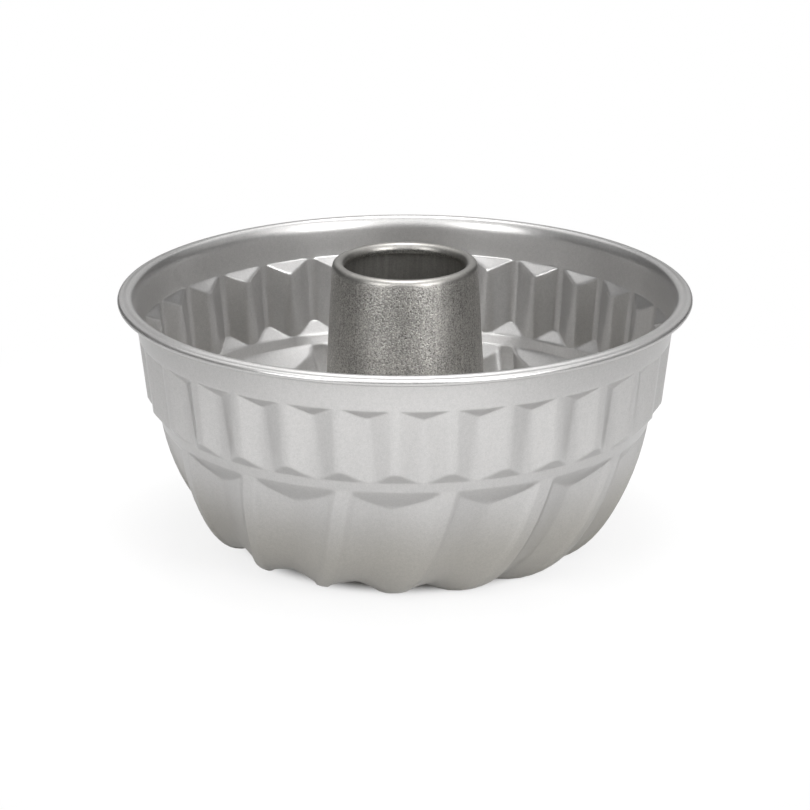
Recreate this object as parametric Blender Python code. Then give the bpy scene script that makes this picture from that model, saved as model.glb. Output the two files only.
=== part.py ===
"""Fluted tube pan: a deep pressed baking mould of coated sheet steel with a seamed centre tube.

Metres, +Z up. The origin is on the table, under the middle of the pan. Angles run round +Z from
the front (-Y) towards +X. The pan is turned so that an upper ridge faces the front.

Three pieces: the pressed shell, the tube whose foot is folded round the shell's collar, and the
wire that the rim is rolled round.
"""
import math

import bpy
import numpy as np

MM = 0.001

# Sheet, wire and fit
SHEET = 0.5 * MM             # thickness of the shell's and the tube's sheet
WIRE_RADIUS = 0.5 * MM       # wire inside the rolled rim
CLEARANCE = 0.3 * MM         # gap between pieces that touch on the real pan

# Rim and top band
RIM_RADIUS = 110.0 * MM      # outermost point of the rolled edge
FLANGE_WIDTH = 6.1 * MM      # from the rolled edge in to the line of the wall
FLANGE_FILLET = 1.8 * MM     # inside radius where the wall turns into the flange
CURL_TURN = 280.0            # degrees that the edge is rolled round its wire
TOP_BAND = 14.4 * MM         # plain band between the flange and the upper flutes
DRAFT = 0.12                 # how far the wall leans out, per unit of height

# Upper flutes: straight grooves of V section, closed by a slanting facet at each end
UPPER_PER_LOWER = 2          # upper flutes over each lower flute
UPPER_HEIGHT = 29.8 * MM     # from the top edge of the grooves to the step band
UPPER_DEPTH = 3.3 * MM
UPPER_TOP_SLANT = 4.2 * MM   # height of the facet that closes a groove at its top
UPPER_FOOT_SLANT = 4.4 * MM  # height of the facet that closes a ridge at its foot
LAND = 1.6                   # degrees on each side of a ridge that stay plain
CLOSURE_EDGE = 0.7 * MM      # height of a closing facet where it runs out at a ridge

# Step band between the two rows
STEP_BAND = 4.3 * MM
STEP_INSET = 1.3 * MM        # how far the band draws in

# Lower flutes: wide grooves that swirl as they run down and under the pan
LOWER_COUNT = 15
LOWER_HEIGHT = 51.1 * MM     # from the table to the top edge of the grooves
LOWER_DEPTH = 4.7 * MM       # at the wall
FOOT_DEPTH = 3.8 * MM        # at the foot
LOWER_SLANT = 8.4 * MM       # height of the facet that closes a groove at its top
KNEE_INSET = 11.8 * MM       # from the band in to the knee, where the wall turns under
KNEE_HEIGHT = 17.2 * MM
WALL_BOW = 1.6 * MM          # how far the wall bows out between the band and the knee
KNEE_HANDLE = 8.4 * MM       # reach of the curve below the knee, along the wall
FOOT_HANDLE = 12.8 * MM      # reach of that curve at the foot, along the table
FOOT_SHARE = 0.45            # place of the foot between the floor ring and the knee
FOOT_LAND = 4.0 * MM         # width of the flat that each ridge stands on
WALL_SWIRL = 8.6             # degrees of even swirl from the band to the foot
BASE_SWIRL = 11.2            # degrees more, gathered near the foot
BASE_GATHER = 4.0            # how late they gather: a higher power is later

# Floor ring, seam and tube
FLOOR_HEIGHT = 5.2 * MM      # underside of the flat floor round the tube
FLOOR_WIDTH = 5.0 * MM       # from the collar out to where the flutes begin
FLOOR_EASE = 1.6             # the ridges' rise to the floor ring: 1 is straight, more starts softer
TUBE_ABOVE_RIM = 12.6 * MM
TUBE_RADIUS = 27.7 * MM      # outside of the tube below its lip
TUBE_TAPER = 0.05            # how far the tube widens downwards, per unit of height
LIP_RADIUS = 2.05 * MM       # of the edge rolled inwards at the top
LIP_TURN = 238.0             # degrees that the lip is rolled
SEAM_LAP = 1.5 * MM          # width of the shell's edge inside the tube's fold

# Facets
CURL_STEPS = 6
FILLET_STEPS = 2
WALL_STEPS = 3
BASE_STEPS = 5
FLOOR_STEPS = 2
LIP_STEPS = 8
WIRE_SIDES = 8
TUBE_COLUMNS = 60
FLUTE_CREASE = 20.0          # degrees between facets, above which an edge shows sharp
ROUND_CREASE = 60.0

# Sizes worked out from those above
UPPER_COUNT = UPPER_PER_LOWER * LOWER_COUNT
UPPER_PITCH = 360.0 / UPPER_COUNT
LOWER_PITCH = 360.0 / LOWER_COUNT
UPPER_FOOT_Z = LOWER_HEIGHT + STEP_BAND
UPPER_TOP_Z = UPPER_FOOT_Z + UPPER_HEIGHT
RIM_Z = UPPER_TOP_Z + TOP_BAND
CURL_INSIDE = WIRE_RADIUS + CLEARANCE
CURL_OUTSIDE = CURL_INSIDE + SHEET
CURL_CENTRE = (RIM_RADIUS - CURL_OUTSIDE, RIM_Z - CURL_OUTSIDE)
TUBE_TOP_Z = RIM_Z + TUBE_ABOVE_RIM


def wall_radius(height):
    """Outside radius of the plain leaning wall, and of the upper ridges."""
    return RIM_RADIUS - FLANGE_WIDTH + DRAFT * (height - RIM_Z)


def tube_radius(height):
    """Outside radius of the tube's wall."""
    return TUBE_RADIUS + TUBE_TAPER * (TUBE_TOP_Z - LIP_RADIUS - height)


BAND_RADIUS = wall_radius(UPPER_FOOT_Z) - UPPER_DEPTH
LOWER_TOP_RADIUS = BAND_RADIUS - STEP_INSET

# The folded seam, from the floor down: the shell's collar turns out into a narrow lap, and the
# tube's foot goes under the lap, up past its edge and back over it.
FOLD = SHEET + CLEARANCE
LAP_TOP_Z = FLOOR_HEIGHT - CLEARANCE - FOLD
SEAM_FOOT_Z = LAP_TOP_Z - FOLD
COLLAR_RADIUS = tube_radius(SEAM_FOOT_Z) + FOLD
LAP_RADIUS = COLLAR_RADIUS + SEAM_LAP
FLOOR_RADIUS = COLLAR_RADIUS + FLOOR_WIDTH

KNEE = np.array([LOWER_TOP_RADIUS - KNEE_INSET, KNEE_HEIGHT])
FOOT = np.array([FLOOR_RADIUS + FOOT_SHARE * (KNEE[0] - FLOOR_RADIUS), 0.0])


def arc(centre, radius, start, end, steps):
    """Points on a circle in the radius-height plane, from one angle in degrees to another."""
    return [(centre[0] + radius * math.cos(math.radians(a)),
             centre[1] + radius * math.sin(math.radians(a)))
            for a in np.linspace(start, end, steps + 1)]


def lower_ridge(u):
    """Ridge line of the lower flutes: u runs 0 to 1 down the wall, then to 2 at the foot."""
    top = np.array([LOWER_TOP_RADIUS, LOWER_HEIGHT])
    fall = KNEE - top
    outward = np.array([-fall[1], fall[0]]) / np.hypot(*fall)
    if u <= 1.0:
        return top + u * fall + 4.0 * u * (1.0 - u) * WALL_BOW * outward
    along = fall - 4.0 * WALL_BOW * outward
    knee_control = KNEE + KNEE_HANDLE * along / np.hypot(*along)
    foot_control = FOOT + np.array([FOOT_HANDLE, 0.0])
    t = u - 1.0
    return ((1 - t) ** 3 * KNEE + 3 * (1 - t) ** 2 * t * knee_control
            + 3 * (1 - t) * t * t * foot_control + t ** 3 * FOOT)


def lower_length(u):
    """Length along the lower ridge line from the band, summed over short chords."""
    points = np.array([lower_ridge(v) for v in np.linspace(0.0, u, 81)])
    return float(np.sum(np.hypot(*np.diff(points, axis=0).T)))


FOOT_LENGTH = lower_length(2.0)


def swirl(length):
    """Degrees that the lower flutes have turned after a length down their ridge.

    Past the foot they go on turning at the rate that they have there.
    """
    share = length / FOOT_LENGTH
    if share <= 1.0:
        return -(WALL_SWIRL * share + BASE_SWIRL * share ** BASE_GATHER)
    return swirl(FOOT_LENGTH) - (WALL_SWIRL + BASE_GATHER * BASE_SWIRL) * (share - 1.0)


def lower_station(u):
    """One ridge point and its valley point on the lower flutes, each with its swirl."""
    ridge = lower_ridge(u)
    probe = 0.01
    ahead = lower_ridge(min(u + probe, 2.0))
    behind = lower_ridge(max(u - probe, 0.0))
    run = (ahead - behind) / np.hypot(*(ahead - behind))
    inward = np.array([run[1], -run[0]])
    share = lower_length(u) / FOOT_LENGTH
    depth = LOWER_DEPTH + (FOOT_DEPTH - LOWER_DEPTH) * share
    valley = ridge + depth * inward
    turn = swirl(lower_length(u))
    return (*ridge, turn), (*valley, turn)


def plain(points, turn=0.0):
    """Rows of a round stretch without flutes."""
    return [((r, z, turn), (r, z, turn)) for r, z in points]


def shell_rows():
    """Rows of the shell's outer face, from the end of the curl to the edge of the lap.

    A row holds a point on the ridge line and one on the valley line: radius, height, turn.
    """
    lean = math.degrees(math.atan(DRAFT))
    fillet = FLANGE_FILLET + SHEET
    fillet_z = RIM_Z - SHEET - fillet
    touch_z = fillet_z + fillet * math.sin(math.radians(lean))
    fillet_centre = (wall_radius(touch_z) + fillet * math.cos(math.radians(lean)), fillet_z)

    upper = plain(arc(CURL_CENTRE, CURL_INSIDE, 90.0 - CURL_TURN, 90.0, CURL_STEPS))
    upper += plain(arc(fillet_centre, fillet, 90.0, 180.0 - lean, FILLET_STEPS))
    upper += plain([(wall_radius(UPPER_TOP_Z), UPPER_TOP_Z)])
    for ridge_z, valley_z in (
            (UPPER_TOP_Z - CLOSURE_EDGE, UPPER_TOP_Z - UPPER_TOP_SLANT),
            (UPPER_FOOT_Z + UPPER_FOOT_SLANT, UPPER_FOOT_Z + CLOSURE_EDGE)):
        upper.append(((wall_radius(ridge_z), ridge_z, 0.0),
                      (wall_radius(valley_z) - UPPER_DEPTH, valley_z, 0.0)))
    upper += plain([(BAND_RADIUS, UPPER_FOOT_Z)])

    lower = plain([(LOWER_TOP_RADIUS, LOWER_HEIGHT)])
    wall_height = LOWER_HEIGHT - KNEE_HEIGHT
    closed_u = LOWER_SLANT / wall_height
    ridge, _ = lower_station(CLOSURE_EDGE / wall_height)
    _, valley = lower_station(closed_u)
    lower.append((ridge, valley))
    for u in np.linspace(closed_u, 1.0, WALL_STEPS + 1)[1:]:
        lower.append(lower_station(u))
    for u in np.linspace(1.0, 2.0, BASE_STEPS + 1)[1:]:
        lower.append(lower_station(u))

    # Under the pan the ridges leave the table and the grooves run out at the floor ring.
    land_end = FOOT[0] - FOOT_LAND
    run_out = land_end - FLOOR_RADIUS
    for share in np.linspace(0.0, 1.0, FLOOR_STEPS + 1):
        r = land_end - share * run_out
        z = FLOOR_HEIGHT * share ** FLOOR_EASE
        turn = swirl(FOOT_LENGTH + FOOT[0] - r)
        lower.append(((r, z, turn), (r, z + FOOT_DEPTH * (1.0 - share), turn)))
    hub_turn = swirl(FOOT_LENGTH + FOOT[0] - FLOOR_RADIUS)
    lower += plain([(COLLAR_RADIUS, FLOOR_HEIGHT), (COLLAR_RADIUS, LAP_TOP_Z),
                    (LAP_RADIUS, LAP_TOP_Z)], hub_turn)
    return upper, lower


def tube_rows():
    """Rows of the tube's outer face, from the end of the lip's curl to the end of the fold."""
    lean = math.degrees(math.atan(TUBE_TAPER))
    lip_centre = (TUBE_RADIUS - LIP_RADIUS, TUBE_TOP_Z - LIP_RADIUS)
    fold_top_z = LAP_TOP_Z + CLEARANCE
    fold_side = LAP_RADIUS + CLEARANCE
    foot_z = SEAM_FOOT_Z
    return plain(arc(lip_centre, LIP_RADIUS, LIP_TURN - lean, lean, LIP_STEPS)
                 + [(tube_radius(foot_z), foot_z), (fold_side, foot_z),
                    (fold_side, fold_top_z), (COLLAR_RADIUS + CLEARANCE, fold_top_z)])


def shell_columns():
    """Angles of the shell's columns, with their place from ridge (0) to valley (1) in each row."""
    angles = []
    for flute in range(UPPER_COUNT):
        for offset in (-LAND, LAND, UPPER_PITCH / 2):
            angles.append(flute * UPPER_PITCH + offset)
    angles = np.array(angles)
    from_upper_ridge = np.abs((angles + UPPER_PITCH / 2) % UPPER_PITCH - UPPER_PITCH / 2)
    upper = np.clip((from_upper_ridge - LAND) / (UPPER_PITCH / 2 - LAND), 0.0, 1.0)
    from_lower_valley = np.abs((angles + LOWER_PITCH / 2) % LOWER_PITCH - LOWER_PITCH / 2)
    reach = LOWER_PITCH / 2 - LAND
    lower = np.clip((reach - from_lower_valley) / (reach - LAND), 0.0, 1.0)
    return angles, upper, lower


def ring_points(rows, angles, weights):
    """Points of each row: radius, height and turn go in a straight line from ridge to valley."""
    ridge = np.array([row[0] for row in rows])[:, None, :]
    valley = np.array([row[1] for row in rows])[:, None, :]
    blend = ridge + (valley - ridge) * np.asarray(weights)[None, :, None]
    radius, height, turn = blend[..., 0], blend[..., 1], blend[..., 2]
    around = np.radians(np.asarray(angles)[None, :] + turn)
    return np.stack([radius * np.sin(around), -radius * np.cos(around), height], axis=-1)


def skin_object(name, points, material, parent, crease=ROUND_CREASE, closed=False):
    """A mesh of quads over rows and columns of points. The columns go all the way round."""
    rows, columns = points.shape[:2]
    index = np.arange(rows * columns).reshape(rows, columns)
    if closed:
        index = np.vstack([index, index[:1]])
    here, below = index[:-1], index[1:]
    quads = np.stack([here, below, np.roll(below, -1, axis=1), np.roll(here, -1, axis=1)], axis=-1)
    mesh = bpy.data.meshes.new(name)
    mesh.from_pydata(points.reshape(-1, 3).tolist(), [], quads.reshape(-1, 4).tolist())
    mesh.materials.append(material)
    mesh.shade_smooth()
    mesh.set_sharp_from_angle(angle=math.radians(crease))
    piece = bpy.data.objects.new(name, mesh)
    piece.parent = parent
    bpy.context.scene.collection.objects.link(piece)
    return piece


def give_thickness(piece):
    """Turn a skin into sheet metal, on the side away from its face normals."""
    solidify = piece.modifiers.new("sheet", 'SOLIDIFY')
    solidify.thickness = SHEET
    solidify.offset = -1.0
    solidify.use_even_offset = True


def coated_metal(name, colour, roughness, metallic):
    material = bpy.data.materials.new(name)
    material.use_nodes = True
    shader = material.node_tree.nodes["Principled BSDF"]
    shader.inputs["Base Color"].default_value = (*colour, 1.0)
    shader.inputs["Roughness"].default_value = roughness
    shader.inputs["Metallic"].default_value = metallic
    return material


def build_shell(parent):
    angles, upper_weights, lower_weights = shell_columns()
    upper, lower = shell_rows()
    points = np.concatenate([ring_points(upper, angles, upper_weights),
                             ring_points(lower, angles, lower_weights)])
    shell = skin_object("fluted_shell", points,
                        coated_metal("silver_coating", (0.58, 0.58, 0.57), 0.42, 0.8), parent,
                        crease=FLUTE_CREASE)
    give_thickness(shell)


def build_tube(parent):
    rows = tube_rows()
    angles = np.arange(TUBE_COLUMNS) * 360.0 / TUBE_COLUMNS
    tube = skin_object("centre_tube", ring_points(rows, angles, np.zeros(TUBE_COLUMNS)),
                       coated_metal("tube_coating", (0.30, 0.29, 0.28), 0.38, 0.85), parent)
    give_thickness(tube)


def build_rim_wire(parent):
    angles, weights, _ = shell_columns()
    section = arc(CURL_CENTRE, WIRE_RADIUS, 360.0, 0.0, WIRE_SIDES)[:-1]
    skin_object("rim_wire", ring_points(plain(section), angles, weights),
                coated_metal("bright_wire", (0.55, 0.55, 0.55), 0.3, 1.0), parent, closed=True)


def main():
    for old in list(bpy.data.objects):
        bpy.data.objects.remove(old, do_unlink=True)
    pan = bpy.data.objects.new("fluted_tube_pan", None)
    bpy.context.scene.collection.objects.link(pan)
    build_shell(pan)
    build_tube(pan)
    build_rim_wire(pan)


main()
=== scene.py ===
import math

import bpy
import numpy as np
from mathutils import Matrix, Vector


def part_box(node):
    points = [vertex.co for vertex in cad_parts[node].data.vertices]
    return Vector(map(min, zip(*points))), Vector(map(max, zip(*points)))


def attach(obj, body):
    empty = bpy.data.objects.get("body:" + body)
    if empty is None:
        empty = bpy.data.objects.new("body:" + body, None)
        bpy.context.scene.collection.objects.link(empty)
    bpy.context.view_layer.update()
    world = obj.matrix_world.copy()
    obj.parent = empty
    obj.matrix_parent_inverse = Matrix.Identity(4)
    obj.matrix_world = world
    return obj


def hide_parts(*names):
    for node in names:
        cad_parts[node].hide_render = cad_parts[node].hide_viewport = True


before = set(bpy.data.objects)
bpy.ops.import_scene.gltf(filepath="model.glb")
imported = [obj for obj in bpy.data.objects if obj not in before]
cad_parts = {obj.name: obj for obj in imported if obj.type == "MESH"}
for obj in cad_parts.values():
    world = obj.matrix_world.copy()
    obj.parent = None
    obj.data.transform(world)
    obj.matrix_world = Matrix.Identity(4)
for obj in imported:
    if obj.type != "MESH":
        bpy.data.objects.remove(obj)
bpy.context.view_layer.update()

# Lengths are millimetres and angles are degrees, but the distances, sizes and places of the camera,
# the floor and the lamps are metres, and so are the points of a finished mesh.
# Angles run round +Z from the front (-Y) towards +X.
mm = 0.001


def boxInMm(node):
    low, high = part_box(node)
    return np.array(low) / mm, np.array(high) / mm


shellLow, shellHigh = boxInMm("fluted_shell")
wireLow, wireHigh = boxInMm("rim_wire")
rimRadius = 0.5 * (shellHigh[1] - shellLow[1])
flangeHeight = shellHigh[2]
tubeTop = boxInMm("centre_tube")[1][2]
wireRadius = 0.5 * (wireHigh[2] - wireLow[2])
print("frame loaded: rim radius %.1f mm, height %.1f mm" % (rimRadius, tubeTop))

shell = {
    "sheet": 0.5,              # thickness of the steel
    "clearance": 0.3,          # air between pieces that touch on the real pan
    "flangeWidth": 6.1,        # from the rolled edge in to the line of the wall
    "flangeSlope": 16.0,       # the flange falls outwards to the bead, by this angle
    "flangeDip": 0.12,         # and sags by this much halfway
    "crestRound": 1.7,         # radius of the flange's inner crest
    "crestEnd": 150.0,         # direction of the crest's face where the longer bend takes over
    "bendRound": 10.0,         # radius of that bend, down into the wall
    "curlTurn": 280.0,         # how far the edge is rolled round the wire
    "draft": 0.12,             # how far the wall leans out, per unit of height
    "upperCount": 30,
    "upperHeight": 29.8,
    "upperDepth": 3.3,
    "upperSpread": 1.1,        # how much further their sides would fall at the foot
    "upperTopSlant": 4.2,      # height of the slant that closes a groove's top
    "upperFootSlant": 4.4,     # and of the one that ends a ridge's foot
    "upperLand": 0.9,          # degrees on each side of an upper ridge that stay plain
    "upperSoft": 0.22,         # rounding of the upper creases
    "stepBand": 4.3,
    "stepInset": 1.3,          # how far the step band draws in over its height
    "lowerCount": 15,
    "lowerHeight": 51.1,
    "lowerDepth": 4.7,
    "footDepth": 3.8,          # depth of the lower grooves at the foot
    "lowerSlant": 9.3,
    "lowerLand": 1.9,          # degrees on each side of a lower ridge that stay plain
    "valleyLand": 0.5,         # and of a groove's middle
    "lowerHollow": 1.0,        # sides of the lower grooves: 0 bulges with the wall, 1 is flat
    "shoulderDrop": 0.2,       # share of the groove's depth that falls off right beside the ridge
    "shoulderWidth": 0.05,     # within about this share of the side's width
    "lowerSoft": 0.25,         # rounding of the lower creases at the top
    "footSoft": 0.9,           # and at the foot
    "kneeInset": 11.8,         # the knee: where the wall turns in to the foot
    "kneeHeight": 17.2,
    "wallBow": 1.6,            # how far the lower wall swells outwards halfway
    "kneeHandle": 8.4,         # lengths of the two handles of the curve from the knee to the foot
    "footHandle": 12.8,
    "footShare": 0.45,         # the foot's place between the floor ring and the knee
    "footLand": 4.0,           # width of the flat that a ridge stands on
    "wallSwirl": 8.6,          # degrees that the lower flutes turn evenly down to the foot
    "baseSwirl": 11.2,         # and degrees more, gathered near the foot by this power
    "baseGather": 4.0,
    "floorHeight": 5.2,
    "floorWidth": 4.15,
    "floorEase": 1.6,          # power of the rise from the foot to the floor ring
    "floorSoft": 0.6,          # rounding where that rise meets the ring
    "seamLap": 1.5,
    "seamRound": 0.3,
}

tube = {
    "radius": 27.95,           # outside, just below the lip
    "taper": 0.056,            # how far it widens downwards, per unit of height
    "lipRadius": 2.3,
    "lipTurn": 238.0,          # how far the lip is rolled inwards
    "columns": 192,
}

upperPitch = 360.0 / shell["upperCount"]
lowerPitch = 360.0 / shell["lowerCount"]
upperFoot = shell["lowerHeight"] + shell["stepBand"]
upperTop = upperFoot + shell["upperHeight"]
curlInside = wireRadius + shell["clearance"]
curlOutside = curlInside + shell["sheet"]
curlCentre = np.array([rimRadius - curlOutside, flangeHeight - curlOutside])
fold = shell["sheet"] + shell["clearance"]
lapTop = shell["floorHeight"] - shell["clearance"] - fold
seamFoot = lapTop - fold


def wallRadius(z):
    # the plain cone: a line that leans out by draft for each unit of height
    return rimRadius - shell["flangeWidth"] + shell["draft"] * (z - flangeHeight)


def tubeRadius(z):
    # a cone that widens downwards by taper for each unit of height
    return tube["radius"] + tube["taper"] * (tubeTop - tube["lipRadius"] - z)


bandRadius = float(wallRadius(upperFoot) - shell["upperDepth"])
lowerTopRadius = bandRadius - shell["stepInset"]
collarRadius = tubeRadius(seamFoot) + fold
lapRadius = collarRadius + shell["seamLap"]
floorRadius = collarRadius + shell["floorWidth"]
knee = np.array([lowerTopRadius - shell["kneeInset"], shell["kneeHeight"]])
foot = np.array([floorRadius + shell["footShare"] * (knee[0] - floorRadius), 0.0])


def softMin(a, b, soft):
    # the lesser of two values, less (soft - difference) squared over 4 soft where they are close
    near = np.clip(soft - np.abs(a - b), 0.0, None)
    return np.minimum(a, b) - near * near / (4.0 * soft)


def softMax(a, b, soft):
    # the greater of two values, with the corner between them filled in the same way
    return -softMin(-a, -b, soft)


def arc(centre, radius, start, end, steps):
    # points at even angles on a circle in the radius-height plane
    turn = np.radians(np.linspace(start, end, steps + 1))
    return np.stack([centre[0] + radius * np.cos(turn), centre[1] + radius * np.sin(turn)], axis=1)


def roundedPath(points, radius, steps):
    # a line of straight runs whose corners are arcs: each arc starts and ends at the distance
    # radius times the tangent of half the turn from its corner
    points = np.array(points, float)
    path = [points[:1]]
    for before, corner, after in zip(points[:-2], points[1:-1], points[2:]):
        come = (corner - before) / np.hypot(*(corner - before))
        leave = (after - corner) / np.hypot(*(after - corner))
        turn = math.atan2(come[0] * leave[1] - come[1] * leave[0], come @ leave)
        reach = radius * math.tan(abs(turn) / 2.0)
        side = math.copysign(1.0, turn)
        start = corner - reach * come
        centre = start + side * radius * np.array([-come[1], come[0]])
        first = math.degrees(math.atan2(*(start - centre)[::-1]))
        path.append(arc(centre, radius, first, first + math.degrees(turn), steps))
    path.append(points[-1:])
    return np.concatenate(path)


def ringGrid(radius, height, angle):
    # turns radius, height and angle arrays of one shape into points: x = r sin, y = -r cos
    around = np.radians(angle)
    x = radius * np.sin(around)
    y = -radius * np.cos(around)
    return np.stack([x, y, height + 0.0 * around], axis=-1)


def outwardOffset(grid, distance):
    # moves each point along the surface's normal, the cross product of the grid's two directions
    along = np.gradient(grid, axis=0)
    across = np.roll(grid, -1, axis=1) - np.roll(grid, 1, axis=1)
    normal = np.cross(along, across)
    normal /= np.linalg.norm(normal, axis=-1, keepdims=True)
    return grid + distance * normal


def closedSheet(name, skin, thickness):
    # one closed body of even thickness: the skin's rows, then its offset's rows in reverse order.
    # The points get a value, skin, that is 1 on the skin and 0 on the offset.
    grid = np.concatenate([skin, outwardOffset(skin, thickness)[::-1]])
    rows, columns = grid.shape[:2]
    here = np.arange(rows * columns).reshape(rows, columns)
    below = np.roll(here, -1, axis=0)
    corners = [here, below, np.roll(below, -1, axis=1), np.roll(here, -1, axis=1)]
    piece = meshObject(name, grid.reshape(-1, 3) * mm, np.stack(corners, axis=-1).reshape(-1, 4))
    side = np.repeat(np.arange(rows) < len(skin), columns)
    values = piece.data.attributes.new("skin", "FLOAT", "POINT")
    values.data.foreach_set("value", side.astype(np.float32))
    return piece


creaseAngle = 50.0             # edges that turn by more than this stay sharp


def meshObject(name, points, quads):
    # a mesh of quads from arrays: points in metres, and four point numbers for each face
    mesh = bpy.data.meshes.new(name)
    mesh.vertices.add(len(points))
    mesh.vertices.foreach_set("co", points.astype(np.float32).ravel())
    mesh.loops.add(quads.size)
    mesh.loops.foreach_set("vertex_index", quads.astype(np.int32).ravel())
    mesh.polygons.add(len(quads))
    mesh.polygons.foreach_set("loop_start", np.arange(0, quads.size, 4, dtype=np.int32))
    mesh.update(calc_edges=True)
    mesh.validate()
    mesh.shade_smooth()
    mesh.set_sharp_from_angle(angle=math.radians(creaseAngle))
    piece = bpy.data.objects.new(name, mesh)
    bpy.context.scene.collection.objects.link(piece)
    return piece


def fluteColumns():
    # angles of the columns: close together at each upper ridge and groove, where the creases are
    halfPitch = upperPitch / 2.0
    steps = np.array([0.0, 0.13, 0.22, 0.32, 0.44, 0.58, 0.75, 0.89]) * halfPitch
    offsets = np.concatenate([-steps[:0:-1], steps, [halfPitch]])
    ridges = np.arange(shell["upperCount"]) * upperPitch
    return (ridges[:, None] + offsets[None, :]).ravel()


def flutedPlace(angles, pitch, shift):
    # degrees from the nearest crest of a pattern that repeats every pitch, from 0 to half of it
    return np.abs((angles - shift + pitch / 2.0) % pitch - pitch / 2.0)


def bandLine(z):
    # the step band: a line that draws in by stepInset over its height
    return bandRadius + shell["stepInset"] / shell["stepBand"] * (z - upperFoot)


def upperRadiusAt(away, z):
    # wall less groove depth. The groove is the least of its two flat sides, its full depth and the
    # slant that closes its top; the ridge is cut off by the slant at its foot. Below both lies the
    # step band.
    soft = shell["upperSoft"]
    land = shell["upperLand"]
    half = upperPitch / 2.0
    deepest = shell["upperDepth"] + shell["upperSpread"] * (upperTop - z) / shell["upperHeight"]
    near = (away - land) / (half - land)
    far = (upperPitch - away - land) / (half - land)
    chord = wallRadius(z) * np.radians(half - land) ** 2 / 2.0
    side = deepest * near + chord * near * (1.0 - near)
    otherSide = deepest * far + chord * far * (1.0 - far)
    groove = softMin(softMin(side, otherSide, soft), shell["upperDepth"] + 0.0 * z, soft)
    topSlant = shell["upperDepth"] / shell["upperTopSlant"] * (upperTop - z)
    facet = wallRadius(z) - softMax(softMin(groove, topSlant, soft), 0.0 * z, soft)
    footRise = shell["upperDepth"] / shell["upperFootSlant"] + shell["draft"]
    footSlant = bandRadius + footRise * (z - upperFoot)
    valley = softMin(wallRadius(z) - shell["upperDepth"], bandLine(z), soft)
    return softMax(valley, softMin(footSlant, facet, soft), soft)


def ridgeLine(u):
    # ridge of the lower flutes in the radius-height plane. u below 0 is the step band, 0 to 1 the
    # wall as a straight fall with a bow of 4u(1-u), 1 to 2 a cubic curve from the knee to the foot,
    # 2 to 3 the flat that the ridge stands on, and 3 on the rise to the floor ring.
    u = np.asarray(u, float)
    top = np.array([lowerTopRadius, shell["lowerHeight"]])
    fall = knee - top
    outward = np.array([-fall[1], fall[0]]) / np.hypot(*fall)
    w = np.clip(u, 0.0, 1.0)[..., None]
    wall = top + w * fall + 4.0 * w * (1.0 - w) * shell["wallBow"] * outward
    bandZ = shell["lowerHeight"] - np.clip(u, -1.0, 0.0) * shell["stepBand"]
    band = np.stack([bandLine(bandZ), bandZ], axis=-1)
    along = fall - 4.0 * shell["wallBow"] * outward
    kneeControl = knee + shell["kneeHandle"] * along / np.hypot(*along)
    footControl = foot + np.array([shell["footHandle"], 0.0])
    t = np.clip(u - 1.0, 0.0, 1.0)[..., None]
    base = ((1 - t) ** 3 * knee + 3 * (1 - t) ** 2 * t * kneeControl
            + 3 * (1 - t) * t ** 2 * footControl + t ** 3 * foot)
    landEnd = foot[0] - shell["footLand"]
    flat = foot[0] - np.clip(u - 2.0, 0.0, 1.0) * shell["footLand"]
    share = np.clip(u - 3.0, 0.0, None)
    rise = shell["floorHeight"] * share ** shell["floorEase"]
    rise = softMin(rise, shell["floorHeight"] + 0.0 * rise, shell["floorSoft"])
    inwards = np.where(u < 3.0, flat, landEnd - share * (landEnd - floorRadius))
    under = np.stack([inwards, rise], axis=-1)
    line = np.where(u[..., None] < 0.0, band, wall)
    line = np.where(u[..., None] > 1.0, base, line)
    return np.where(u[..., None] > 2.0, under, line)


lineSteps = np.linspace(0.0, 2.0, 801)
linePoints = ridgeLine(lineSteps)
lineLengths = np.concatenate([[0.0], np.cumsum(np.hypot(*np.diff(linePoints, axis=0).T))])
footLength = lineLengths[-1]


def swirlAt(u):
    # degrees of turn: an even part and a part gathered near the foot, then on at the last rate
    length = np.interp(u, lineSteps, lineLengths)
    share = length / footLength
    within = -(shell["wallSwirl"] * share + shell["baseSwirl"] * share ** shell["baseGather"])
    past = np.clip(foot[0] - ridgeLine(u)[..., 0], 0.0, None) * (np.asarray(u) > 2.0)
    rate = shell["wallSwirl"] + shell["baseGather"] * shell["baseSwirl"]
    return within - rate * past / footLength


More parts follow.
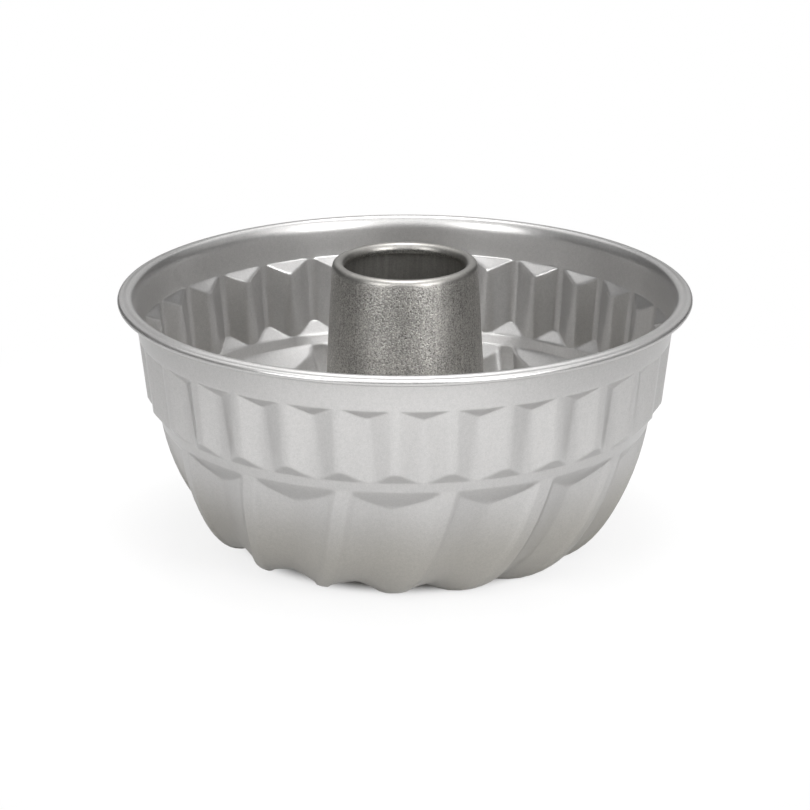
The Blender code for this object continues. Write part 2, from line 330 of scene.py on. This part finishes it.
def lowerSkin(ridgeU, valleyU, angles):
    # rows on the lower flutes. A row's u goes from ridgeU to valleyU across the flute. Each point
    # lies inside the ridge line by the groove's depth, square to that line, and is turned by the swirl.
    away = flutedPlace(angles, lowerPitch, 0.0)
    half = lowerPitch / 2.0
    reach = half - shell["lowerLand"]
    across = np.clip((reach - away) / (reach - shell["valleyLand"]), 0.0, 1.0)
    u = ridgeU[:, None] + (valleyU - ridgeU)[:, None] * across[None, :]
    line = ridgeLine(u)
    probe = 0.01
    run = ridgeLine(np.minimum(u + probe, 2.0)) - ridgeLine(np.clip(u - probe, 0.0, 2.0 - probe))
    run /= np.linalg.norm(run, axis=-1, keepdims=True)
    inward = np.stack([run[..., 1], -run[..., 0]], axis=-1)
    share = np.interp(u, lineSteps, lineLengths) / footLength
    soft = shell["lowerSoft"] + (shell["footSoft"] - shell["lowerSoft"]) * share
    depth = shell["lowerDepth"] + (shell["footDepth"] - shell["lowerDepth"]) * share
    inside = (reach - away[None, :]) / (reach - shell["valleyLand"])
    chord = line[..., 0] * np.radians(reach - shell["valleyLand"]) ** 2 / 2.0
    shoulder = 1.0 - np.exp(-np.clip(inside, 0.0, None) / shell["shoulderWidth"])
    fall = inside + shell["shoulderDrop"] * (shoulder - inside)
    side = depth * fall + shell["lowerHollow"] * chord * inside * (1.0 - inside)
    groove = softMin(side, depth, soft)
    slant = shell["lowerDepth"] / shell["lowerSlant"] * (shell["lowerHeight"] - line[..., 1])
    slant = np.where(u > 1.0, 2.0 * depth, slant)
    cut = softMax(softMin(groove, slant, soft), 0.0 * depth, soft)
    cut = cut * (1.0 - np.clip(u - 3.0, 0.0, 1.0))
    place = line + cut[..., None] * inward
    return ringGrid(place[..., 0], place[..., 1], angles[None, :] + swirlAt(u))


def flangePath():
    # from the end of the curl round its wire, up the sloping flange with its dip, over the crest
    # and down the long bend into the wall. The two bends share a normal at crestEnd. The height of
    # the wall's end is the one at which the crest touches the flange's line.
    slope = math.radians(shell["flangeSlope"])
    lean = math.atan(shell["draft"])
    up = np.array([math.sin(slope), math.cos(slope)])
    turn = math.radians(shell["crestEnd"])
    crestWay = np.array([math.cos(turn), math.sin(turn)])
    toCrest = (shell["bendRound"] - shell["crestRound"]) * crestWay
    fromWall = shell["bendRound"] * np.array([math.cos(lean), -math.sin(lean)])
    atZero = np.array([float(wallRadius(0.0)), 0.0]) + fromWall + toCrest
    rise = np.array([shell["draft"], 1.0])
    wallEnd = (curlInside - shell["crestRound"] - (atZero - curlCentre) @ up) / (rise @ up)
    crestCentre = atZero + wallEnd * rise
    bendCentre = crestCentre - toCrest
    upwards = 90.0 - shell["flangeSlope"]
    curl = arc(curlCentre, curlInside, 90.0 - shell["curlTurn"], upwards, 12)
    crest = arc(crestCentre, shell["crestRound"], upwards, shell["crestEnd"], 7)
    bend = arc(bendCentre, shell["bendRound"], shell["crestEnd"], 180.0 - math.degrees(lean), 5)
    share = np.linspace(0.0, 1.0, 7)[1:-1, None]
    dip = shell["flangeDip"] * np.sin(math.pi * share) ** 2
    flange = curl[-1] + share * (crest[0] - curl[-1]) - dip * up
    return np.concatenate([curl, flange, crest, bend[1:]])


floorEnd = 4.15                # where the lower rows end, past 4, the start of the floor ring


def shellSkin():
    # the outside of the shell as one grid: the rim, the upper flutes, the lower flutes and the seam,
    # each a set of rows on the same columns
    angles = fluteColumns()
    path = flangePath()
    rim = ringGrid(path[:, :1], path[:, 1:], angles[None, :])

    # heights of the upper rows, on the ridge and in the groove. They lie close together on the
    # slants, which fall by edge on one of the two and by the slant's height on the other.
    edge = 1.0
    ridgeZ = [np.linspace(path[-1, 1], upperTop + 0.5, 4)[1:]]
    valleyZ = [ridgeZ[0]]
    close = np.linspace(0.0, 1.0, 7)
    below = np.array([0.45, 1.0, 1.8])
    ridgeZ += [upperTop - edge * close, upperTop - edge - below]
    valleyZ += [upperTop - shell["upperTopSlant"] * close, upperTop - shell["upperTopSlant"] - below]
    ridgeEnd = upperFoot + shell["upperFootSlant"]
    valleyEnd = upperFoot + edge
    ridgeZ += [np.linspace(ridgeZ[-1][-1], ridgeEnd + below[-1], 5)[1:-1]]
    valleyZ += [np.linspace(valleyZ[-1][-1], valleyEnd + below[-1], 5)[1:-1]]
    ridgeZ += [ridgeEnd + below[::-1], ridgeEnd - shell["upperFootSlant"] * close]
    valleyZ += [valleyEnd + below[::-1], valleyEnd - edge * close]
    ridgeZ += [upperFoot - below[:2]]
    valleyZ += [upperFoot - below[:2]]
    ridgeZ = np.concatenate(ridgeZ)[:, None]
    valleyZ = np.concatenate(valleyZ)[:, None]
    away = flutedPlace(angles, upperPitch, 0.0)
    reach = upperPitch / 2.0 - shell["upperLand"]
    across = np.clip((away - shell["upperLand"]) / reach, 0.0, 1.0)[None, :]
    z = ridgeZ + (valleyZ - ridgeZ) * across
    upper = ringGrid(upperRadiusAt(away[None, :], z), z, angles[None, :])

    # places of the lower rows along the ridge line: step band, slant, wall, curve to the foot, flat
    # and rise
    wallHeight = shell["lowerHeight"] - shell["kneeHeight"]
    lowerEdge = 1.2
    close = np.linspace(0.0, 1.0, 8)
    band = np.array([-0.4, -0.2, -0.08])
    ridgeU = [band, lowerEdge / wallHeight * close, (lowerEdge + below) / wallHeight]
    valleyU = [band, shell["lowerSlant"] / wallHeight * close,
               (shell["lowerSlant"] + below) / wallHeight]
    ridgeU += [np.linspace(ridgeU[-1][-1], 1.0, 7)[1:]]
    valleyU += [np.linspace(valleyU[-1][-1], 1.0, 7)[1:]]
    under = [np.linspace(1.0, 2.0, 11)[1:], [2.5], np.linspace(3.0, 4.0, 5), [floorEnd]]
    lower = lowerSkin(np.concatenate(ridgeU + under), np.concatenate(valleyU + under), angles)

    # floor ring, collar and lap
    ringStart = floorRadius - 1.5
    hub = roundedPath([(ringStart, shell["floorHeight"]), (collarRadius, shell["floorHeight"]),
                       (collarRadius, lapTop), (lapRadius, lapTop)], shell["seamRound"], 2)
    hubTurn = float(swirlAt(np.array([floorEnd]))[0])
    seam = ringGrid(hub[:, :1], hub[:, 1:], angles[None, :] + hubTurn)
    return np.concatenate([rim, upper, lower, seam])


def tubeSkin():
    # rolled lip, leaning wall, and the foot folded round the shell's lap
    lean = math.degrees(math.atan(tube["taper"]))
    lipCentre = (tube["radius"] - tube["lipRadius"], tubeTop - tube["lipRadius"])
    lip = arc(lipCentre, tube["lipRadius"], tube["lipTurn"] - lean, lean, 26)
    foldSide = lapRadius + shell["clearance"]
    foldTop = lapTop + shell["clearance"]
    wallZ = np.linspace(lip[-1, 1], seamFoot + 2.0, 14)[1:]
    wall = np.stack([tubeRadius(wallZ), wallZ], axis=1)
    hem = roundedPath([(tubeRadius(seamFoot + 1.0), seamFoot + 1.0),
                       (tubeRadius(seamFoot), seamFoot), (foldSide, seamFoot), (foldSide, foldTop),
                       (collarRadius + shell["clearance"], foldTop)], shell["seamRound"], 3)
    path = np.concatenate([lip, wall, hem])
    angles = np.arange(tube["columns"]) * 360.0 / tube["columns"]
    return ringGrid(path[:, :1], path[:, 1:], angles[None, :])


class Shade:
    # one socket of a material; an expression on it adds Math nodes
    def __init__(self, nodes, socket):
        self.nodes = nodes
        self.socket = socket

    def math(self, operation, first, second):
        return self.nodes.add("ShaderNodeMath", {"operation": operation}, {0: first, 1: second})

    def __add__(self, other):
        return self.math("ADD", self, other)

    def __radd__(self, other):
        return self.math("ADD", other, self)

    def __sub__(self, other):
        return self.math("SUBTRACT", self, other)

    def __rsub__(self, other):
        return self.math("SUBTRACT", other, self)

    def __mul__(self, other):
        return self.math("MULTIPLY", self, other)

    def __rmul__(self, other):
        return self.math("MULTIPLY", other, self)


class Nodes:
    # makes the nodes of one material or world
    def __init__(self, owner):
        owner.use_nodes = True
        self.tree = owner.node_tree
        self.tree.nodes.clear()

    def add(self, kind, settings=None, sockets=None, output=0):
        # a node's type, its settings, then the values or links of its sockets
        node = self.tree.nodes.new(kind)
        for name, value in (settings or {}).items():
            setattr(node, name, value)
        for name, value in (sockets or {}).items():
            if isinstance(value, Shade):
                self.tree.links.new(value.socket, node.inputs[name])
            else:
                node.inputs[name].default_value = value
        return Shade(self, node.outputs[output]) if node.outputs else node

    def place(self):
        return self.add("ShaderNodeTexCoord", output="Object")

    def beside(self, shade, output):
        # another output of the node that a socket belongs to
        return Shade(self, shade.socket.node.outputs[output])

    def noise(self, where, scale, detail=2.0, rough=0.5):
        return self.add("ShaderNodeTexNoise", None,
                        {"Vector": where, "Scale": scale, "Detail": detail, "Roughness": rough})

    def stretched(self, where, factors):
        return self.add("ShaderNodeMapping", {"vector_type": "POINT"},
                        {"Vector": where, "Scale": factors})

    def reach(self, where, factors, shift):
        # the length of a place that was multiplied by the factors and shifted
        moved = self.add("ShaderNodeVectorMath", {"operation": "MULTIPLY_ADD"},
                         {0: where, 1: factors, 2: shift})
        return self.add("ShaderNodeVectorMath", {"operation": "LENGTH"}, {0: moved}, "Value")

    def climb(self, where, edges):
        # 0 below the first of two heights in millimetres, 1 above the second, and eased between
        height = self.add("ShaderNodeSeparateXYZ", None, {"Vector": where}, "Z")
        return self.spread(height, *(edge * mm for edge in edges), "SMOOTHSTEP")

    def spread(self, value, low, high, kind="LINEAR"):
        # the part of a value between low and high, stretched to run from 0 to 1
        return self.add("ShaderNodeMapRange", {"clamp": True, "interpolation_type": kind},
                        {"Value": value, "From Min": low, "From Max": high})

    def blend(self, share, first, second):
        # from the first colour to the second by share
        return self.add("ShaderNodeMix", {"data_type": "RGBA"},
                        {"Factor": share, "A": (*first, 1.0) if isinstance(first, tuple) else first,
                         "B": (*second, 1.0) if isinstance(second, tuple) else second}, "Result")

    def product(self, first, second):
        # two colours multiplied
        return self.add("ShaderNodeMix", {"data_type": "RGBA", "blend_type": "MULTIPLY"},
                        {"Factor": 1.0, "A": first, "B": second}, "Result")

    def bump(self, relief, distance):
        return self.add("ShaderNodeBump", None,
                        {"Height": relief, "Distance": distance, "Strength": 1.0})

    def coat(self, colour, roughness, metallic, normal):
        # a material of one metallic surface
        surface = self.add("ShaderNodeBsdfPrincipled", None, {
            "Base Color": colour, "Roughness": roughness, "Metallic": metallic, "Normal": normal})
        self.finish(surface)

    def finish(self, surface):
        self.add("ShaderNodeOutputMaterial", None, {"Surface": surface})


silver = {
    "dark": (0.410, 0.405, 0.401),
    "light": (0.500, 0.494, 0.488),
    "toneEdges": (0.36, 0.64),     # values of the mixed grain where the dark and the light are full
    "floorReflectionTint": (0.92, 0.90, 0.845),   # painted reflection: the colours are multiplied by this low down, a warmer, darker tint for warm surroundings mirrored there
    "floorReflectionEdges": (16.0, 46.0),     # heights where the painted warm reflection is full and gone
    "roughness": 0.32,
    "fleckRough": 0.10,            # how much the flecks and the clouds vary the roughness
    "cloudRough": 0.06,
    "metallic": 0.85,
    "grainSize": 0.45,
    "grainHeight": 0.010,
    "fleckSize": 1.35,
    "waveSize": 11.0,
    "waveHeight": 0.030,
    "cloudSize": 55.0,
}


def silverCoating():
    # a matt metallic coating: fine grain in colour, roughness and height, over the faint
    # waves of pressed sheet, and painted reflection low down: a warmer, darker tint
    material = bpy.data.materials.new("silver_coating_fine")
    nodes = Nodes(material)
    where = nodes.place()
    grain = nodes.noise(where, 1.0 / (silver["grainSize"] * mm), 2.0, 0.6)
    fleck = nodes.noise(where, 1.0 / (silver["fleckSize"] * mm), 3.0, 0.6)
    wave = nodes.noise(where, 1.0 / (silver["waveSize"] * mm), 1.0, 0.4)
    cloud = nodes.noise(where, 1.0 / (silver["cloudSize"] * mm), 2.0, 0.5)
    tone = nodes.spread(0.5 * grain + 0.3 * fleck + 0.2 * cloud, *silver["toneEdges"])
    plain = nodes.blend(tone, silver["dark"], silver["light"])
    # painted reflection: the colours are made warmer and darker low down
    paintedReflection = nodes.blend(nodes.climb(where, silver["floorReflectionEdges"]), silver["floorReflectionTint"], (1.0, 1.0, 1.0))
    roughness = (silver["roughness"] + silver["fleckRough"] * (fleck - 0.5)
                 + silver["cloudRough"] * (cloud - 0.5))
    relief = silver["grainHeight"] * grain + silver["waveHeight"] * wave
    nodes.coat(nodes.product(plain, paintedReflection), roughness, silver["metallic"], nodes.bump(relief, mm))
    return material


dark = {
    "low": (0.20, 0.194, 0.184),
    "high": (0.61, 0.594, 0.562),
    "toneEdges": (0.36, 0.66),     # values of the mixed grain where the low and the high are full
    "roughness": 0.36,
    "grainRough": 0.12,            # how much the grain and the clouds vary the roughness
    "cloudRough": 0.05,
    "metallic": 0.95,
    "grainSize": 0.65,
    "grainHeight": 0.10,
    "turningSize": 0.30,           # height of the short turning marks that run round the tube
    "turningStretch": 0.45,        # their height as a share of their length
    "turningHeight": 0.18,
    "streakSize": 1.1,             # width of the streaks that run up the wall
    "streakStretch": 0.04,         # their width as a share of their length
    "streakHeight": 0.010,
    "cloudSize": 18.0,
    "lipEdges": (109.0, 111.0),    # heights between which the wall's grain fades into the smooth lip, and the lip's painted shade comes in
    "lipShadedTone": 0.50,               # share of the way from low to high that is left on the lip: painted shade that dims the lamps' highlight on it
    "smoothRoughness": 0.39,       # on the lip and in the bore
    "smoothHeight": 0.20,          # share of the grain's height that is left there
    "smoothTone": 0.25,            # and of the grain's contrast
}


def tubeCoating():
    # darker, with grain, short turning marks round the tube and faint streaks up its wall. The
    # turning marks spread its highlights up and down, and the lip and the bore are smoother.
    material = bpy.data.materials.new("tube_coating_fine")
    nodes = Nodes(material)
    where = nodes.place()
    grain = nodes.noise(where, 1.0 / (dark["grainSize"] * mm), 2.0, 0.65)
    upwards = nodes.stretched(where, (1.0, 1.0, dark["streakStretch"]))
    streak = nodes.noise(upwards, 1.0 / (dark["streakSize"] * mm), 2.0, 0.5)
    around = nodes.stretched(where, (dark["turningStretch"], dark["turningStretch"], 1.0))
    turning = nodes.noise(around, 1.0 / (dark["turningSize"] * mm), 2.0, 0.5)
    cloud = nodes.noise(where, 1.0 / (dark["cloudSize"] * mm), 2.0, 0.5)
    skin = nodes.add("ShaderNodeAttribute", {"attribute_name": "skin"}, output="Fac")
    lip = nodes.climb(where, dark["lipEdges"])
    wall = skin * (1.0 - lip)
    grainHeight = dark["grainHeight"] * (dark["smoothHeight"] + (1.0 - dark["smoothHeight"]) * wall)
    relief = (grainHeight * grain + dark["streakHeight"] * streak
              + dark["turningHeight"] * wall * turning)
    fleck = 0.5 + (grain - 0.5) * (dark["smoothTone"] + (1.0 - dark["smoothTone"]) * wall)
    tone = nodes.spread(0.75 * fleck + 0.15 * streak + 0.1 * cloud, *dark["toneEdges"])
    # painted shade: the lip's colour is darkened to dim the highlight on it
    tone = tone * (1.0 - (1.0 - dark["lipShadedTone"]) * lip)
    roughness = (dark["smoothRoughness"] + (dark["roughness"] - dark["smoothRoughness"]) * wall
                 + dark["grainRough"] * (grain - 0.5) * wall + dark["cloudRough"] * (cloud - 0.5))
    colour = nodes.blend(tone, dark["low"], dark["high"])
    nodes.coat(colour, roughness, dark["metallic"], nodes.bump(relief, mm))
    return material


wire = {
    "dark": (0.42, 0.42, 0.43),
    "light": (0.62, 0.62, 0.62),
    "roughness": 0.28,
    "scratchRough": 0.1,
    "scratchSize": 0.8,
    "scratchStretch": 9.0,         # their length along the wire as a multiple of their width
    "scratchHeight": 0.01,
}


def wireSteel():
    # bare drawn wire: fine scratches that run along it
    material = bpy.data.materials.new("wire_steel_fine")
    nodes = Nodes(material)
    along = nodes.stretched(nodes.place(), (1.0, 1.0, wire["scratchStretch"]))
    scratch = nodes.noise(along, 1.0 / (wire["scratchSize"] * mm), 3.0, 0.6)
    roughness = wire["roughness"] + wire["scratchRough"] * scratch
    bump = nodes.bump(scratch, wire["scratchHeight"] * mm)
    nodes.coat(nodes.blend(scratch, wire["dark"], wire["light"]), roughness, 1.0, bump)
    return material


def placeRound(azimuth, elevation, distance):
    # a place at a distance from the origin, by its angle round from the front and its angle up, and
    # the turn that makes a camera or a lamp there look back
    around = math.radians(azimuth)
    up = math.radians(elevation)
    place = (distance * math.cos(up) * math.sin(around),
             -distance * math.cos(up) * math.cos(around), distance * math.sin(up))
    return place, (math.pi / 2.0 - up, 0.0, around)


camera = {
    "distance": 1.700,
    "elevation": 18.31,
    "azimuth": 2.0,
    "targetHeight": 0.05415,
    "lens": 195.7,                 # millimetres, and so is the sensor's width
    "sensor": 36.0,
    "clipEnd": 20.0,
}


def makeCamera():
    data = bpy.data.cameras.new("camera")
    data.lens = camera["lens"]
    data.sensor_width = camera["sensor"]
    data.clip_end = camera["clipEnd"]
    eye = bpy.data.objects.new("camera", data)
    place, turn = placeRound(camera["azimuth"], camera["elevation"], camera["distance"])
    eye.location = (place[0], place[1], camera["targetHeight"] + place[2])
    eye.rotation_euler = turn
    bpy.context.scene.collection.objects.link(eye)
    bpy.context.scene.camera = eye


studio = {
    "floorSize": 8.0,
    "floorColour": (0.84, 0.84, 0.84),
    # share of plain white in what the camera sees of the floor: under the pan, beside it, and all
    # of it far off. The edges are distances from the pan's middle.
    "whiteUnder": 0.0,
    "whiteBeside": 0.80,
    "underEdges": (0.053, 0.066),
    "farEdges": (0.12, 0.30),
    # painted light: share of white glow in what metal mirrors of the floor, and how white that is: a
    # glowing strip that runs to the front and the back, and a round pool of light before the pan, seen
    # only in reflections
    "whiteMirrored": 0.46,
    "glowStripWhite": 0.40,
    "glowStripEdges": (0.14, 0.30),
    "glowPoolWhite": 0.60,
    "glowPoolEdges": (0.10, 0.35),
    "glowPoolShift": (0.0, 0.345, 0.0),
    "world": (0.0, 0.0, 0.0),
    # name: azimuth, elevation, distance, width, height, radiance
    "lamps": {
        "overhead": (180.0, 86.0, 1.5, 0.8, 0.8, 7.4),
        "ceiling": (180.0, 89.0, 1.6, 3.2, 3.2, 1.10),
        "behind": (180.0, 55.0, 1.5, 1.2, 0.5, 0.6),
        "back": (180.0, 22.0, 1.5, 1.6, 0.7, 0.62),
        "front": (0.0, 42.0, 0.95, 0.7, 0.4, 1.90),
        "frontLeft": (-38.0, 28.0, 0.9, 0.35, 0.35, 7.6),
        "frontRight": (38.0, 28.0, 0.9, 0.35, 0.35, 9.6),
        "farRight": (57.0, 38.0, 1.6, 0.8, 0.8, 1.9),
        "left": (-100.0, 35.0, 1.5, 0.9, 0.9, 0.35),
        "right": (100.0, 35.0, 1.5, 0.9, 0.9, 0.55),
    },
}


def makeFloor():
    # one plain square. The camera sees the pan's shadow on it, which fades to white further off,
    # and metal mirrors painted light on it: a glowing white strip and pool.
    corners = np.array([(-1.0, -1.0, 0.0), (1.0, -1.0, 0.0), (1.0, 1.0, 0.0), (-1.0, 1.0, 0.0)])
    floor = meshObject("studio_floor", corners * studio["floorSize"] / 2.0, np.array([[0, 1, 2, 3]]))
    material = bpy.data.materials.new("studio_floor")
    nodes = Nodes(material)
    seen = nodes.add("ShaderNodeLightPath", output="Is Camera Ray")
    reflected = nodes.beside(seen, "Is Glossy Ray") + nodes.beside(seen, "Is Transmission Ray")
    where = nodes.place()
    away = nodes.reach(where, (1.0, 1.0, 1.0), (0.0, 0.0, 0.0))
    beside = nodes.spread(away, *studio["underEdges"], "SMOOTHSTEP")
    far = nodes.spread(away, *studio["farEdges"], "SMOOTHSTEP")
    shown = (studio["whiteUnder"] + (studio["whiteBeside"] - studio["whiteUnder"]) * beside
             + (1.0 - studio["whiteBeside"]) * far)
    share = shown * seen + studio["whiteMirrored"] * reflected
    # painted light: a strip and a pool on the floor glow for mirrored rays only
    toSide = nodes.reach(where, (1.0, 0.0, 0.0), (0.0, 0.0, 0.0))
    glowStrip = 1.0 - nodes.spread(toSide, *studio["glowStripEdges"], "SMOOTHSTEP")
    toGlowPool = nodes.reach(where, (1.0, 1.0, 0.0), studio["glowPoolShift"])
    glowPool = 1.0 - nodes.spread(toGlowPool, *studio["glowPoolEdges"], "SMOOTHSTEP")
    paintedGlow = studio["glowStripWhite"] * glowStrip + studio["glowPoolWhite"] * glowPool
    white = (1.0, 1.0, 1.0)
    black = (0.0, 0.0, 0.0)
    shade = nodes.blend(reflected, white, nodes.blend(paintedGlow, black, white))
    matt = nodes.add("ShaderNodeBsdfDiffuse", None, {"Color": (*studio["floorColour"], 1.0)})
    glow = nodes.add("ShaderNodeEmission", None, {"Color": shade, "Strength": 1.0})
    nodes.finish(nodes.add("ShaderNodeMixShader", None, {0: share, 1: matt, 2: glow}))
    floor.data.materials.append(material)


def makeLight():
    # a black world and soft rectangular lamps round the pan. A lamp's power is its radiance times
    # its area times pi.
    world = bpy.data.worlds.new("studio")
    nodes = Nodes(world)
    sky = {"Color": (*studio["world"], 1.0), "Strength": 1.0}
    glow = nodes.add("ShaderNodeBackground", None, sky)
    nodes.add("ShaderNodeOutputWorld", None, {"Surface": glow})
    bpy.context.scene.world = world
    for name, (*place, width, height, radiance) in studio["lamps"].items():
        data = bpy.data.lights.new(name, "AREA")
        data.shape = "RECTANGLE"
        data.size = width
        data.size_y = height
        data.energy = radiance * math.pi * width * height
        lamp = bpy.data.objects.new(name, data)
        lamp.location, lamp.rotation_euler = placeRound(*place)
        lamp.visible_camera = False
        bpy.context.scene.collection.objects.link(lamp)


def dress(piece, node, material):
    # gives a piece its material and its body, and hides the solid that it stands for
    piece.data.materials.clear()
    piece.data.materials.append(material)
    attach(piece, "root")
    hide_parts(node)


makeCamera()
makeFloor()
makeLight()
print("camera, floor and lamps made")

# both skins are the outside, so the sheet's other side lies inwards of them
panShell = closedSheet("pan_shell", shellSkin(), -shell["sheet"])
dress(panShell, "fluted_shell", silverCoating())
print("shell made:", len(panShell.data.polygons), "faces")

panTube = closedSheet("pan_tube", tubeSkin(), -shell["sheet"])
dress(panTube, "centre_tube", tubeCoating())
print("tube made:", len(panTube.data.polygons), "faces")

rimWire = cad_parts["rim_wire"]
rimWire.data.materials.clear()
rimWire.data.materials.append(wireSteel())
print("wire finished")

bpy.context.scene.view_settings.view_transform = "Standard"
